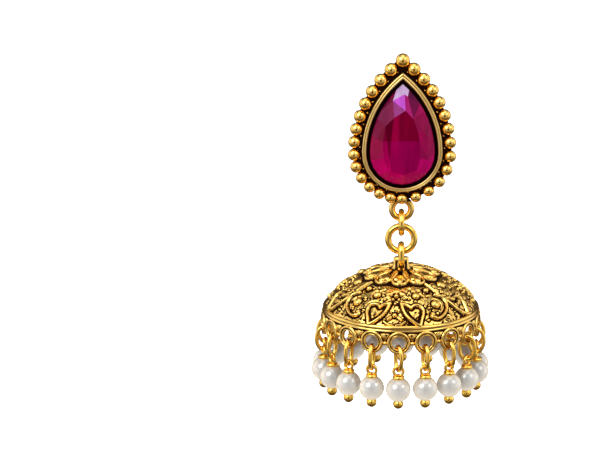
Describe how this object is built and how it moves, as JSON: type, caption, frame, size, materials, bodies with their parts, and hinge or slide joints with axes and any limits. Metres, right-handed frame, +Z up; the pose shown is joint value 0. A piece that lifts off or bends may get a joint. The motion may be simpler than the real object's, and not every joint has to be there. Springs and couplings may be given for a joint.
{
  "type": "jhumka earring",
  "caption": "Drop earring with a teardrop stone stud, interlocked rings and a hollow domed bell fringed with pearls on jump rings.",
  "frame": {"origin": "where the ear post leaves the back of the stud", "axes": "+Z up along the hanging earring, the stone faces -Y and the ear post points along +Y"},
  "size_m": [0.0298, 0.0299, 0.0573],
  "materials": {
    "antique_gold": "cast and gold plated, bright on the raised edges with black patina in the recesses",
    "gold": "polished gold plate",
    "ruby_glass": "cut and polished magenta stone with a foiled back",
    "pearl": "lustrous cream white imitation pearl on a gold headpin"
  },
  "bodies": {
    "stud": {"stud_casting": "antique_gold", "stone": "ruby_glass", "ear_post": "gold"},
    "link": {"connector_link": "gold"},
    "ring": {"hanging_ring": "gold"},
    "drop": {"bell": "antique_gold", "jump_ring_01": "gold", "jump_ring_02": "gold", "jump_ring_03": "gold", "jump_ring_04": "gold", "jump_ring_05": "gold", "jump_ring_06": "gold", "jump_ring_07": "gold", "jump_ring_08": "gold", "jump_ring_09": "gold", "jump_ring_10": "gold", "jump_ring_11": "gold", "jump_ring_12": "gold", "jump_ring_13": "gold", "jump_ring_14": "gold", "jump_ring_15": "gold", "jump_ring_16": "gold", "jump_ring_17": "gold", "jump_ring_18": "gold", "pearl_drop_01": "pearl", "pearl_drop_02": "pearl", "pearl_drop_03": "pearl", "pearl_drop_04": "pearl", "pearl_drop_05": "pearl", "pearl_drop_06": "pearl", "pearl_drop_07": "pearl", "pearl_drop_08": "pearl", "pearl_drop_09": "pearl", "pearl_drop_10": "pearl", "pearl_drop_11": "pearl", "pearl_drop_12": "pearl", "pearl_drop_13": "pearl", "pearl_drop_14": "pearl", "pearl_drop_15": "pearl", "pearl_drop_16": "pearl", "pearl_drop_17": "pearl", "pearl_drop_18": "pearl"}
  },
  "joints": [
    {"name": "link_swing", "type": "hinge", "parent": "stud", "child": "link", "pos_m": [0, -0.00055, -0.01691], "axis": [1, 0, 0], "range_deg": [-45, 45]},
    {"name": "ring_sway", "type": "hinge", "parent": "link", "child": "ring", "pos_m": [0, -0.00055, -0.01944], "axis": [0, 1, 0], "range_deg": [-20, 20]},
    {"name": "drop_swing", "type": "hinge", "parent": "ring", "child": "drop", "pos_m": [0, -0.00055, -0.02266], "axis": [1, 0, 0], "range_deg": [-45, 45]}
  ]
}
